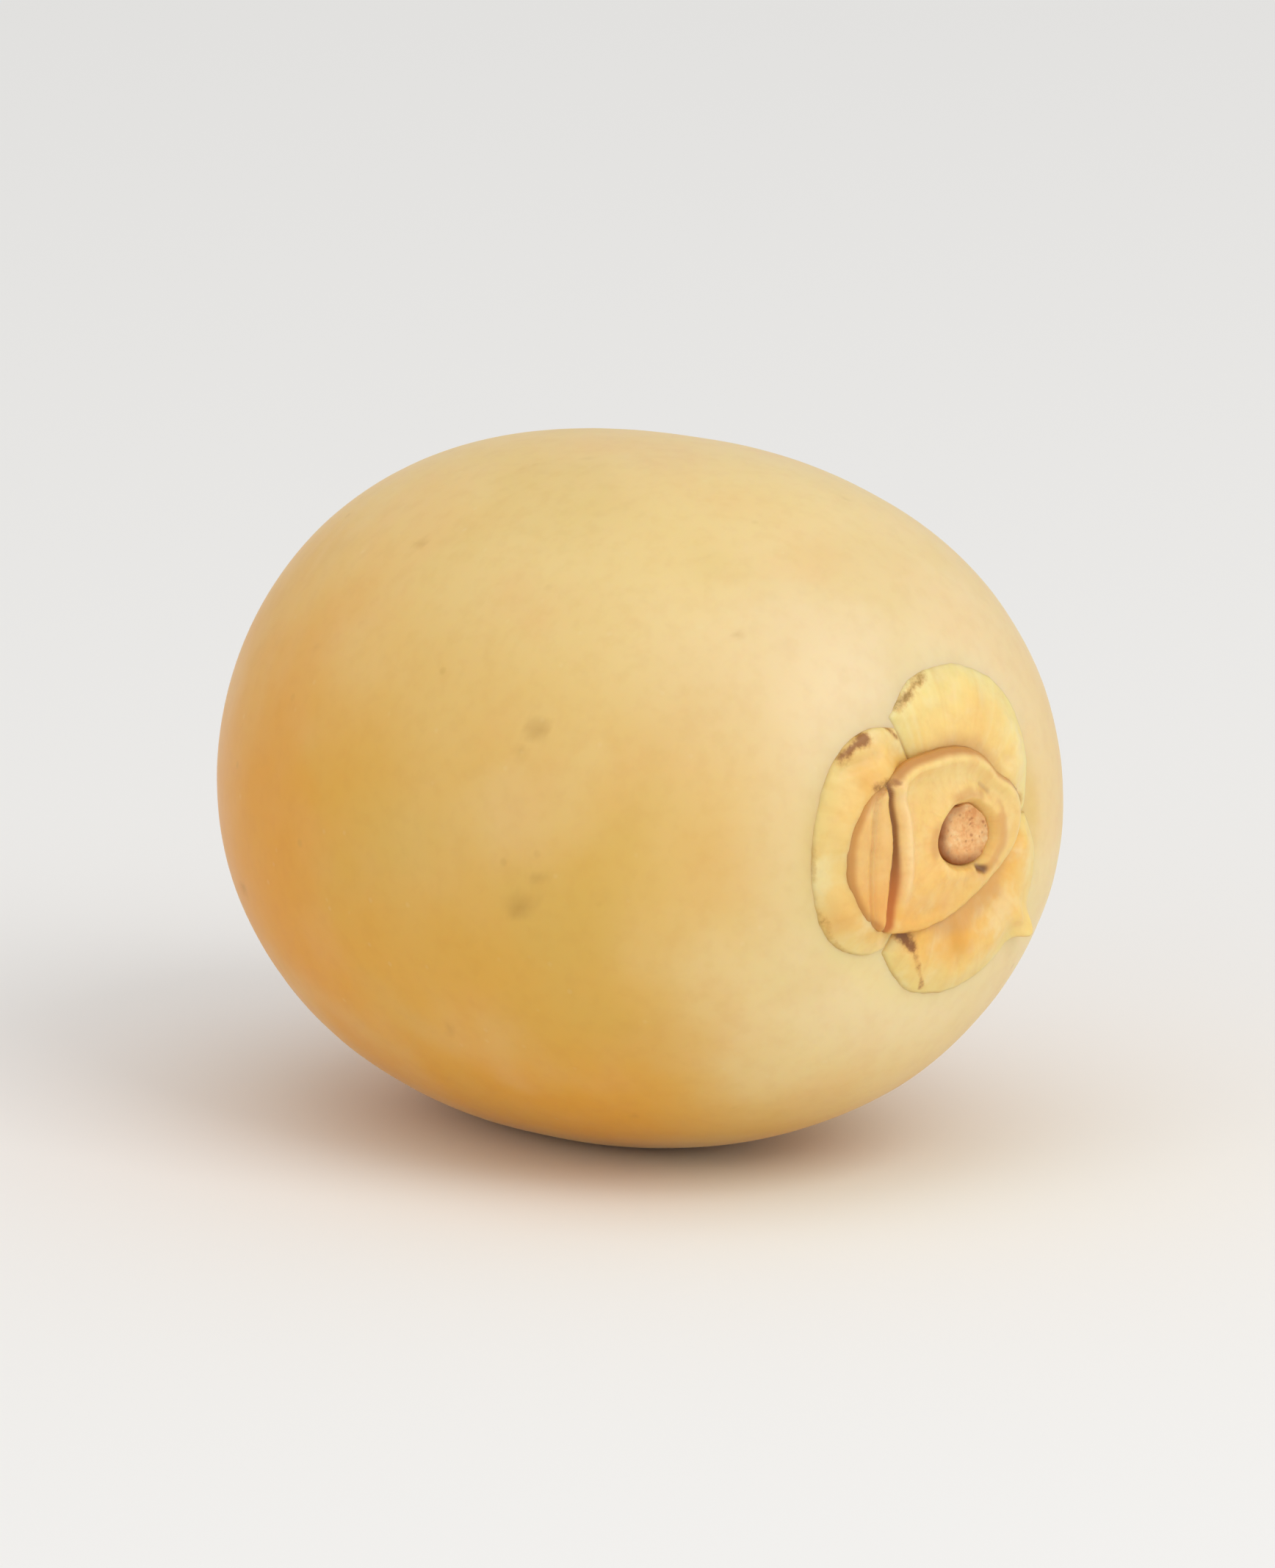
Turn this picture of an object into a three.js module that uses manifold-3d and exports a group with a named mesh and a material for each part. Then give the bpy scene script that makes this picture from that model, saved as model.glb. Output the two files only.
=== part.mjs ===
// A fresh yellow date lying on its side, calyx end towards +X.
// Millimetres, +Z up. The origin is the middle of the small flat spot the fruit rests on.
import * as THREE from 'three';
import { mergeVertices } from 'three/addons/utils/BufferGeometryUtils.js';
import Module from 'manifold-3d';

// ---- driving dimensions, mm ----
const WIDTH = 27.6;              // largest thickness of the fruit
const TIP_HALF = 17.35;          // widest section to the tip
const CALYX_HALF = 17.9;         // widest section to where the calyx shoulder would close
const BULGE = 2.3;               // fullness of the outline; 2 would be an ellipsoid
const SEAT_DEPTH = 1.35;         // how far the shoulder is pressed in under the calyx
const SEAT_RADIUS = 5.0;
const TIP_HOLLOW = 0.42;         // shallow hollow around the style scar at the tip
const TIP_HOLLOW_RADIUS = 2.7;
const NIPPLE = 0.5;              // the style scar's small point
const NIPPLE_RADIUS = 0.75;
const OVAL = 0.011;              // the section is slightly oval
const OVAL_TURN = 0.5;
const BEND_Y = 0.42;             // both ends stray a little to one side
const BEND_Z = 0.26;             // and a little upwards, so the belly is below
const REST_TILT = 2.6 * Math.PI / 180;   // calyx end lifted as it rests
const CENTRE = [1.075, 0.413, 13.4];     // middle of the fruit over the rest spot

const SKIN_SEGMENTS = 56;
const SKIN_RINGS = 40;

const CLEARANCE = 0.16;          // between pieces that lie on each other
const PETAL_THICKNESS = 0.5;
const PETAL_INNER = 2.3;
// Outlines round the calyx axis: [degrees from +Y towards +Z, distance from the axis in mm].
const PETALS = {
  petal_near: [[118, 5.1], [124, 5.7], [136, 6.1], [152, 6.15], [168, 6.1], [182, 6.1], [195, 6.15],
    [207, 6.15], [217, 5.9], [225, 5.4], [230, 4.8]],
  petal_upper: [[6, 4.7], [13, 5.1], [25, 5.7], [40, 6.3], [55, 6.65], [70, 6.7], [84, 6.6], [95, 6.4],
    [102, 6.05], [107, 5.5]],
  petal_far: [[-124, 4.9], [-118, 5.3], [-108, 5.8], [-98, 6.1], [-84, 6.3], [-68, 6.4], [-54, 6.4],
    [-48, 6.45], [-43, 6.8], [-38, 6.3], [-28, 6.05], [-14, 5.6], [0, 4.8]],
};
const CUP_OUTLINE = [[0, 4.0], [21, 4.1], [37, 3.6], [55, 3.62], [74, 3.68], [95, 3.66], [116, 3.85],
  [131, 4.0], [146, 4.3], [163, 4.8], [180, 4.93], [196, 4.95], [210, 4.8], [223, 4.45], [240, 3.85],
  [262, 3.35], [284, 3.0], [306, 2.9], [328, 3.2], [345, 3.6]];
const CUP_FOOT = 1.85;           // the cup's foot inside the ring of petals
const CUP_HEIGHT = 1.28;         // from the skin to the cup's rim
const STUB_RADIUS = 1.25;        // broken end of the fruit's strand
const STUB_HEIGHT = 0.42;
const STUB_CENTRE = [0.85, 0.08]; // its place on the cup, along Y and Z

const R = WIDTH / 2;

// point on the skin in the fruit's own frame: phi 0 is the calyx pole, pi the tip
function skin(phi, alpha) {
  const c = Math.cos(phi);
  const s = Math.max(Math.sin(phi), 0);
  const half = c > 0 ? CALYX_HALF : TIP_HALF;
  let x = Math.sign(c) * half * Math.pow(Math.abs(c), 2 / BULGE);
  const r0 = R * Math.pow(s, 2 / BULGE);
  if (c > 0) x -= SEAT_DEPTH * Math.exp(-Math.pow(r0 / SEAT_RADIUS, 2));
  else {
    x += TIP_HOLLOW * Math.exp(-Math.pow(r0 / TIP_HOLLOW_RADIUS, 2));
    x -= NIPPLE * Math.exp(-Math.pow(r0 / NIPPLE_RADIUS, 2));
  }
  const t = x / TIP_HALF;
  const r = r0 * (1 + OVAL * Math.cos(2 * (alpha - OVAL_TURN))
    + 0.0035 * Math.cos(3 * alpha + 0.9 + 1.3 * t)
    + 0.0022 * Math.cos(5 * alpha + 2.1 - 1.7 * t)
    + 0.012 * t * Math.cos(alpha - 2.0) * s);
  return new THREE.Vector3(
    x,
    r * Math.cos(alpha) + BEND_Y * t * t * (1 - 0.25 * t),
    r * Math.sin(alpha) + BEND_Z * t * t,
  );
}

function skinNormal(phi, alpha) {
  const d = 1e-3;
  const a = skin(phi + d, alpha).sub(skin(phi - d, alpha));
  const b = skin(phi, alpha + d).sub(skin(phi, alpha - d));
  return a.cross(b).normalize();
}

// point at a distance from the calyx axis, lifted off the skin by h
function onShoulder(rho, alpha, h) {
  const c = skin(0, 0);
  if (rho < 1e-6) return new THREE.Vector3(c.x + h, c.y, c.z);
  const phi = Math.asin(Math.min(1, Math.pow(rho / R, BULGE / 2)));
  const p = skin(phi, alpha);
  if (rho < 1.2) return new THREE.Vector3(c.x + h + (p.x - c.x) * (rho / 1.2), p.y, p.z);
  return p.addScaledVector(skinNormal(phi, alpha), h);
}

// from the fruit's own frame to where it lies
function place(p) {
  const c = Math.cos(REST_TILT);
  const s = Math.sin(REST_TILT);
  return [
    p.x * c - p.z * s + CENTRE[0],
    p.y + CENTRE[1],
    p.x * s + p.z * c + CENTRE[2],
  ];
}

// smooth outline through [degrees, distance] pairs, open or closed round the axis
function outline(pairs, closed) {
  const curve = new THREE.CatmullRomCurve3(
    pairs.map(([deg, r]) => new THREE.Vector3(
      r * Math.cos(deg * Math.PI / 180), r * Math.sin(deg * Math.PI / 180), 0)),
    closed, 'centripetal');
  return (k) => {
    const p = curve.getPoint(k);
    return [Math.hypot(p.x, p.y), Math.atan2(p.y, p.x)];
  };
}

function remap(geometry, fn) {
  const pos = geometry.attributes.position;
  const v = new THREE.Vector3();
  for (let i = 0; i < pos.count; i++) {
    v.fromBufferAttribute(pos, i);
    const q = place(fn(v, i));
    pos.setXYZ(i, q[0], q[1], q[2]);
  }
  return tidy(geometry);
}

// shared vertices merged and the flat slivers at the poles dropped
function tidy(geometry) {
  geometry.deleteAttribute('normal');
  geometry.deleteAttribute('uv');
  const g = mergeVertices(geometry, 1e-4);
  const keep = [];
  const idx = g.index.array;
  for (let i = 0; i < idx.length; i += 3) {
    const [a, b, c] = [idx[i], idx[i + 1], idx[i + 2]];
    if (a !== b && b !== c && a !== c) keep.push(a, b, c);
  }
  g.setIndex(keep);
  return outward(g);
}

function outward(g) {
  const p = g.attributes.position;
  const idx = g.index.array;
  let volume = 0;
  const a = new THREE.Vector3();
  const b = new THREE.Vector3();
  const c = new THREE.Vector3();
  for (let i = 0; i < idx.length; i += 3) {
    a.fromBufferAttribute(p, idx[i]);
    b.fromBufferAttribute(p, idx[i + 1]);
    c.fromBufferAttribute(p, idx[i + 2]);
    volume += a.dot(b.cross(c));
  }
  if (volume < 0) {
    const flipped = [];
    for (let i = 0; i < idx.length; i += 3) flipped.push(idx[i], idx[i + 2], idx[i + 1]);
    g.setIndex(flipped);
  }
  g.computeVertexNormals();
  return g;
}

// a turned shape whose rings are then laid out by fn(ring fraction or value, angle)
function turned(rings, segments, fn) {
  const points = rings.map((ring, i) => new THREE.Vector2(
    i === 0 || i === rings.length - 1 ? 0 : 1, i));
  const geometry = new THREE.LatheGeometry(points, segments);
  return remap(geometry, (v, i) => {
    const ring = i % rings.length;
    const step = Math.floor(i / rings.length) % segments;
    return fn(rings[ring], (step / segments) * Math.PI * 2);
  });
}

const wasm = await Module();
wasm.setup();

function toSolid(geometry) {
  return new wasm.Manifold(new wasm.Mesh({
    numProp: 3,
    vertProperties: Float32Array.from(geometry.attributes.position.array),
    triVerts: Uint32Array.from(geometry.index.array),
  }));
}

function fromSolid(solid) {
  const mesh = solid.getMesh();
  const g = new THREE.BufferGeometry();
  g.setAttribute('position', new THREE.BufferAttribute(Float32Array.from(mesh.vertProperties), 3));
  g.setIndex(Array.from(mesh.triVerts));
  g.computeVertexNormals();
  return g;
}

// ---- the fruit: one solid of flesh and skin ----
function makeFruit() {
  const rings = [];
  for (let i = 0; i <= SKIN_RINGS; i++) {
    // rings crowd a little towards both ends, where the outline turns quickest
    const u = i / SKIN_RINGS;
    rings.push(Math.PI * (u - 0.07 * Math.sin(4 * Math.PI * u) / (2 * Math.PI)));
  }
  const body = turned(rings, SKIN_SEGMENTS, (phi, alpha) => skin(phi, alpha));
  const below = new THREE.BoxGeometry(80, 80, 20);
  below.translate(0, 0, -10);
  return fromSolid(toSolid(body).subtract(toSolid(tidy(below))));
}

// ---- petals: thin scales pressed on the shoulder ----
function makePetal(pairs) {
  const nu = 9;
  const nv = 24;
  const edge = outline(pairs, false);
  const geometry = new THREE.BoxGeometry(1, 1, 1, nu, nv, 1);
  return remap(geometry, (v) => {
    const u = v.x + 0.5;
    const top = v.z > 0;
    const [reach, alpha] = edge(v.y + 0.5);
    const rho = PETAL_INNER + (reach - PETAL_INNER) * u;
    const thin = 1 - 0.45 * Math.pow(u, 3);
    return onShoulder(rho, alpha, CLEARANCE + (top ? PETAL_THICKNESS * thin : 0));
  });
}

// ---- calyx cup: the fused sepals, a low cup with three blunt corners ----
function makeCup() {
  const over = CLEARANCE + PETAL_THICKNESS + CLEARANCE + 0.05;
  // [share of the foot or rim radius, height over the skin, on the foot or on the rim]
  const rings = [
    [0, CLEARANCE, 'foot'], [0.45, CLEARANCE, 'foot'], [0.8, CLEARANCE, 'foot'], [1, CLEARANCE + 0.06, 'foot'],
    [1, over, 'foot'], [0.86, over, 'rim'], [0.97, over + 0.06, 'rim'],
    [1, over + 0.3, 'rim'], [0.97, CUP_HEIGHT - 0.08, 'rim'], [0.9, CUP_HEIGHT, 'rim'],
    [0.78, CUP_HEIGHT - 0.06, 'rim'], [0.6, CUP_HEIGHT - 0.22, 'rim'], [0.38, CUP_HEIGHT - 0.26, 'rim'],
    [0.18, CUP_HEIGHT - 0.26, 'rim'], [0, CUP_HEIGHT - 0.26, 'rim'],
  ];
  const edge = outline(CUP_OUTLINE, true);
  return turned(rings, 48, ([share, h, on], turn) => {
    const [reach, alpha] = edge(turn / (2 * Math.PI));
    return onShoulder(share * (on === 'foot' ? CUP_FOOT : reach), alpha, h);
  });
}

// ---- strand stub: the round broken end of the strand that carried the fruit ----
function makeStub() {
  const low = CUP_HEIGHT - 0.04;
  const rings = [
    [0, low], [0.7, low], [0.95, low + 0.04], [1, low + 0.16], [0.97, low + STUB_HEIGHT - 0.06],
    [0.88, low + STUB_HEIGHT], [0.72, low + STUB_HEIGHT - 0.05], [0.4, low + STUB_HEIGHT - 0.14],
    [0, low + STUB_HEIGHT - 0.17],
  ];
  const c = skin(0, 0);
  return turned(rings, 28, ([share, h], alpha) => {
    const r = share * STUB_RADIUS * (1 + 0.05 * Math.cos(2 * alpha + 0.7));
    return new THREE.Vector3(
      c.x + h,
      c.y + STUB_CENTRE[0] + r * Math.cos(alpha),
      c.z + STUB_CENTRE[1] + r * Math.sin(alpha),
    );
  });
}

const looks = {
  fruit: [0xe6c078, 0.38],
  petal_near: [0xedc178, 0.55],
  petal_upper: [0xf2dc96, 0.55],
  petal_far: [0xf0c276, 0.55],
  calyx_cup: [0xf2c168, 0.5],
  strand_stub: [0xd9a26e, 0.7],
};

function piece(name, geometry) {
  const [color, roughness] = looks[name];
  const mesh = new THREE.Mesh(geometry, new THREE.MeshStandardMaterial({ color, roughness, metalness: 0 }));
  mesh.name = name;
  return mesh;
}

const date = new THREE.Group();
date.name = 'date';
date.add(piece('fruit', makeFruit()));
for (const [name, pairs] of Object.entries(PETALS)) date.add(piece(name, makePetal(pairs)));
date.add(piece('calyx_cup', makeCup()));
date.add(piece('strand_stub', makeStub()));

export default date;
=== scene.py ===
import math

import bpy
import numpy as np
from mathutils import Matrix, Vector


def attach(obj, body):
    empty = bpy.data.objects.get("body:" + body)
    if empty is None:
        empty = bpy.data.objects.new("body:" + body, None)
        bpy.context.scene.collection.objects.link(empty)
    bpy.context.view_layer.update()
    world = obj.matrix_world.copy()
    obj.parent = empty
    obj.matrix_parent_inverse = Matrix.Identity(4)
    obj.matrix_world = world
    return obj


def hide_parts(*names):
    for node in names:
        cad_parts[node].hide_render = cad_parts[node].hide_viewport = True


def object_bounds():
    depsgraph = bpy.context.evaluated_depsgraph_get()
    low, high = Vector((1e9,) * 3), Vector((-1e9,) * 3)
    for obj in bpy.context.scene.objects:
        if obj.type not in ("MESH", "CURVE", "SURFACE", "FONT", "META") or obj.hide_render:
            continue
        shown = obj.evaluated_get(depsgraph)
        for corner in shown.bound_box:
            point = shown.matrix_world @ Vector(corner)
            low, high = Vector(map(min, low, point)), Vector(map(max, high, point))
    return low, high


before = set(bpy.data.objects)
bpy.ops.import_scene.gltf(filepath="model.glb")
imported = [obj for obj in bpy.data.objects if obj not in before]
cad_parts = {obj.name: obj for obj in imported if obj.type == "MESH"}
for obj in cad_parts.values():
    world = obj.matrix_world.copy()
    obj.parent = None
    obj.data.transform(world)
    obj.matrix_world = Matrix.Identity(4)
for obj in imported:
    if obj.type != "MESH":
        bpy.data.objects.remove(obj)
cad_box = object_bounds()

MM = 0.001

# ------------------------------------------------------------------ the fruit's form, in mm
WIDTH = 27.6
TIP_HALF = 17.35
CALYX_HALF = 17.9
BULGE = 2.3
SEAT_DEPTH = 1.35
SEAT_RADIUS = 5.0
TIP_HOLLOW = 0.42
TIP_HOLLOW_RADIUS = 2.7
NIPPLE = 0.5
NIPPLE_RADIUS = 0.75
OVAL = 0.011
OVAL_TURN = 0.5
BEND_Y = 0.42
BEND_Z = 0.26
REST_TILT = math.radians(2.6)
CENTRE = (1.075, 0.413, 13.4)
R = WIDTH / 2
STUB_CENTRE = (0.85, 0.08)
STUB_RADIUS = 1.25

PETALS = {
    "petal_near": [[116, 5.0], [123, 5.7], [136, 6.1], [152, 6.15], [168, 6.1], [182, 6.1], [195, 6.15],
                   [207, 6.15], [218, 5.9], [227, 5.4], [234, 4.7]],
    "petal_upper": [[6, 4.7], [13, 5.1], [25, 5.7], [40, 6.3], [55, 6.65], [70, 6.7], [84, 6.6], [95, 6.4],
                    [102, 6.05], [107, 5.5]],
    "petal_far": [[-124, 4.9], [-118, 5.3], [-108, 5.8], [-98, 6.1], [-84, 6.3], [-68, 6.4], [-50, 6.35],
                  [-30, 6.1], [-14, 5.6], [0, 4.8]],
}
CUP_OUTLINE = [[0, 4.0], [21, 4.1], [37, 3.6], [55, 3.62], [74, 3.68], [95, 3.66], [116, 3.85], [131, 4.0],
               [146, 4.3], [163, 4.8], [180, 4.93], [196, 4.95], [210, 4.8], [223, 4.45], [240, 3.85],
               [262, 3.35], [284, 3.0], [306, 2.9], [328, 3.2], [345, 3.6]]


# ------------------------------------------------------------------ seeded noise
def lattice(seed):
    rng = np.random.RandomState(seed)
    perm = rng.permutation(256)
    perm = np.concatenate([perm, perm, perm])
    g = rng.normal(size=(256, 3))
    g /= np.linalg.norm(g, axis=1)[:, None]
    return perm, g


_lat = {}


def noise(p, seed=0):
    """Gradient noise, about -1 to 1, at points p of any shape (..., 3)."""
    if seed not in _lat:
        _lat[seed] = lattice(seed)
    perm, g = _lat[seed]
    q = np.floor(p).astype(int)
    f = p - q
    w = f * f * f * (f * (f * 6 - 15) + 10)
    q = q & 255
    out = 0.0
    for dx in (0, 1):
        for dy in (0, 1):
            for dz in (0, 1):
                h = perm[perm[perm[(q[..., 0] + dx) & 255] + ((q[..., 1] + dy) & 255)] + ((q[..., 2] + dz) & 255)]
                gr = g[h]
                d = np.stack([f[..., 0] - dx, f[..., 1] - dy, f[..., 2] - dz], -1)
                wx = w[..., 0] if dx else 1 - w[..., 0]
                wy = w[..., 1] if dy else 1 - w[..., 1]
                wz = w[..., 2] if dz else 1 - w[..., 2]
                out = out + wx * wy * wz * (gr * d).sum(-1)
    return out * 1.6


def fractal(p, seed=0, octaves=3):
    total = 0.0
    amp = 1.0
    for i in range(octaves):
        total = total + amp * noise(p * (2.03 ** i) + 11.7 * i, seed + i)
        amp *= 0.5
    return total / 1.5


def step(a, b, x):
    t = np.clip((x - a) / (b - a), 0, 1)
    return t * t * (3 - 2 * t)


# ------------------------------------------------------------------ the skin surface
def skin(phi, alpha):
    """Fruit frame, mm. phi 0 is the calyx pole and pi the tip."""
    phi, alpha = np.broadcast_arrays(np.asarray(phi, float), np.asarray(alpha, float))
    c = np.cos(phi)
    s = np.maximum(np.sin(phi), 0)
    half = np.where(c > 0, CALYX_HALF, TIP_HALF)
    x = np.sign(c) * half * np.abs(c) ** (2 / BULGE)
    r0 = R * s ** (2 / BULGE)
    x = np.where(
        c > 0,
        x - SEAT_DEPTH * np.exp(-((r0 / SEAT_RADIUS) ** 2)),
        x + TIP_HOLLOW * np.exp(-((r0 / TIP_HOLLOW_RADIUS) ** 2)) - NIPPLE * np.exp(-((r0 / NIPPLE_RADIUS) ** 2)),
    )
    t = x / TIP_HALF
    r = r0 * (1 + OVAL * np.cos(2 * (alpha - OVAL_TURN))
              + 0.0035 * np.cos(3 * alpha + 0.9 + 1.3 * t)
              + 0.0022 * np.cos(5 * alpha + 2.1 - 1.7 * t)
              + 0.012 * t * np.cos(alpha - 2.0) * s)
    return np.stack([
        x,
        r * np.cos(alpha) + BEND_Y * t * t * (1 - 0.25 * t),
        r * np.sin(alpha) + BEND_Z * t * t,
    ], -1)


def skin_normal(phi, alpha):
    d = 1e-3
    a = skin(phi + d, alpha) - skin(phi - d, alpha)
    b = skin(phi, alpha + d) - skin(phi, alpha - d)
    n = np.cross(a, b)
    return n / np.maximum(np.linalg.norm(n, axis=-1, keepdims=True), 1e-12)


def on_shoulder(rho, alpha, h):
    """Points at a distance from the calyx axis, lifted off the skin by h."""
    rho, alpha, h = np.broadcast_arrays(np.asarray(rho, float), np.asarray(alpha, float), np.asarray(h, float))
    c = skin(0.0, 0.0)
    phi = np.arcsin(np.minimum(1, (np.maximum(rho, 1e-4) / R) ** (BULGE / 2)))
    p = skin(phi, alpha)
    n = skin_normal(phi, alpha)
    k = step(0.0, 1.2, rho)[..., None]
    n = n * k + np.array([1.0, 0, 0]) * (1 - k)
    n /= np.linalg.norm(n, axis=-1, keepdims=True)
    flat = np.stack([c[0] + (p[..., 0] - c[0]) * k[..., 0], p[..., 1], p[..., 2]], -1)
    return flat + n * h[..., None]


def place(p):
    c, s = math.cos(REST_TILT), math.sin(REST_TILT)
    return np.stack([
        p[..., 0] * c - p[..., 2] * s + CENTRE[0],
        p[..., 1] + CENTRE[1],
        p[..., 0] * s + p[..., 2] * c + CENTRE[2],
    ], -1)


def outline(pairs, closed, count):
    """Smooth outline through [degrees, distance] pairs: distances and angles at count points."""
    pts = np.array([[r * math.cos(math.radians(d)), r * math.sin(math.radians(d))] for d, r in pairs])
    n = len(pts)
    segs = n if closed else n - 1
    out = []
    ks = np.arange(count) / count * segs if closed else np.linspace(0, segs, count)
    for k in ks:
        i = min(int(k), segs - 1)
        t = k - i

        def at(j):
            if closed:
                return pts[j % n]
            if j < 0:
                return 2 * pts[0] - pts[1]
            if j >= n:
                return 2 * pts[-1] - pts[-2]
            return pts[j]

        p0, p1, p2, p3 = at(i - 1), at(i), at(i + 1), at(i + 2)
        out.append(0.5 * (2 * p1 + (p2 - p0) * t + (2 * p0 - 5 * p1 + 4 * p2 - p3) * t * t
                          + (3 * p1 - p0 - 3 * p2 + p3) * t ** 3))
    out = np.array(out)
    # take the corners off
    half = count // 40
    w = np.exp(-0.5 * (np.arange(-2 * half, 2 * half + 1) / half) ** 2)
    w /= w.sum()
    if closed:
        long = np.concatenate([out[-2 * half:], out, out[:2 * half]])
    else:
        head = 2 * out[0] - out[1:2 * half + 1][::-1]
        tail = 2 * out[-1] - out[-2 * half - 1:-1][::-1]
        long = np.concatenate([head, out, tail])
    out = np.stack([np.convolve(long[:, i], w, mode="valid") for i in (0, 1)], -1)
    return np.hypot(out[:, 0], out[:, 1]), np.unwrap(np.arctan2(out[:, 1], out[:, 0]))


# ------------------------------------------------------------------ meshes
def make_object(name, verts, tris, quads, attrs):
    """A mesh from arrays of triangles and quads, faces pointing out."""
    verts = np.asarray(verts, dtype=np.float64)
    tris = np.asarray(tris, dtype=np.int64).reshape(-1, 3)
    quads = np.asarray(quads, dtype=np.int64).reshape(-1, 4)
    mid = verts.mean(0)
    every = np.concatenate([tris, quads[:, [0, 1, 2]], quads[:, [0, 2, 3]]])
    a, b, c = (verts[every[:, i]] - mid for i in range(3))
    if (a * np.cross(b, c)).sum() < 0:
        tris = tris[:, ::-1]
        quads = quads[:, ::-1]
    mesh = bpy.data.meshes.new(name)
    mesh.vertices.add(len(verts))
    mesh.vertices.foreach_set("co", (verts * MM).astype(np.float32).reshape(-1))
    mesh.loops.add(tris.size + quads.size)
    mesh.loops.foreach_set("vertex_index", np.concatenate([tris.reshape(-1), quads.reshape(-1)]).astype(np.int32))
    mesh.polygons.add(len(tris) + len(quads))
    starts = np.concatenate([np.arange(len(tris)) * 3, tris.size + np.arange(len(quads)) * 4])
    mesh.polygons.foreach_set("loop_start", starts.astype(np.int32))
    mesh.polygons.foreach_set("use_smooth", np.ones(len(mesh.polygons), dtype=bool))
    mesh.update(calc_edges=True)
    mesh.validate()
    for key, values in attrs.items():
        at = mesh.attributes.new(key, "FLOAT", "POINT")
        at.data.foreach_set("value", np.asarray(values, dtype=np.float32))
    ob = bpy.data.objects.new(name, mesh)
    bpy.context.scene.collection.objects.link(ob)
    return ob


def capsule_faces(nr, na):
    """Faces of nr inner rings of na points, with a pole vertex before and after them."""
    j = np.arange(na)
    k = (j + 1) % na
    last = 1 + nr * na
    head = np.stack([np.zeros(na, dtype=int), 1 + j, 1 + k], -1)
    a = 1 + (nr - 1) * na
    tail = np.stack([a + j, np.full(na, last), a + k], -1)
    i = 1 + np.arange(nr - 1)[:, None] * na
    quads = np.stack([i + j, i + na + j, i + na + k, i + k], -1).reshape(-1, 4)
    return np.concatenate([head, tail]), quads


def rings_to_verts(pole0, rings, pole1):
    return np.concatenate([np.asarray(pole0)[None], rings.reshape(-1, 3), np.asarray(pole1)[None]])


# ------------------------------------------------------------------ fruit
def spot_mask(p, spots):
    """p (..., 3) fruit frame; spots (x, y, z, radius, strength)."""
    out = np.zeros(p.shape[:-1])
    for x, y, z, rad, strength in spots:
        q = p - np.array([x, y, z])
        d = np.sqrt((q[..., 0] * 0.8) ** 2 + q[..., 1] ** 2 + q[..., 2] ** 2)
        wob = 1 + 0.8 * noise(p * (0.75 / rad) + x, 77) + 0.35 * noise(p * (2.2 / rad), 78)
        out = np.maximum(out, strength * (1 - step(0.1, 1.0, d / (rad * np.maximum(wob, 0.25)))))
    return out


def line_mask(p, a, b, width):
    d = b - a
    t = np.clip(((p - a) * d).sum(-1) / (d * d).sum(), 0, 1)
    dist = np.linalg.norm(p - a - t[..., None] * d, axis=-1)
    wob = 1 + 0.6 * noise(p / 0.9, 79) + 0.35 * noise(p / 0.35, 80)
    return (1 - step(0.2, 1.0, dist / (width * np.maximum(wob, 0.2)))) * (1 - 0.5 * t)


def at_skin(t, deg):
    """Point on the skin at axial share t (-1 tip, 1 calyx) and angle."""
    c = t
    phi = math.acos(max(-1, min(1, math.copysign(abs(c) ** (BULGE / 2), c))))
    return skin(phi, math.radians(deg)), phi


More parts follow.
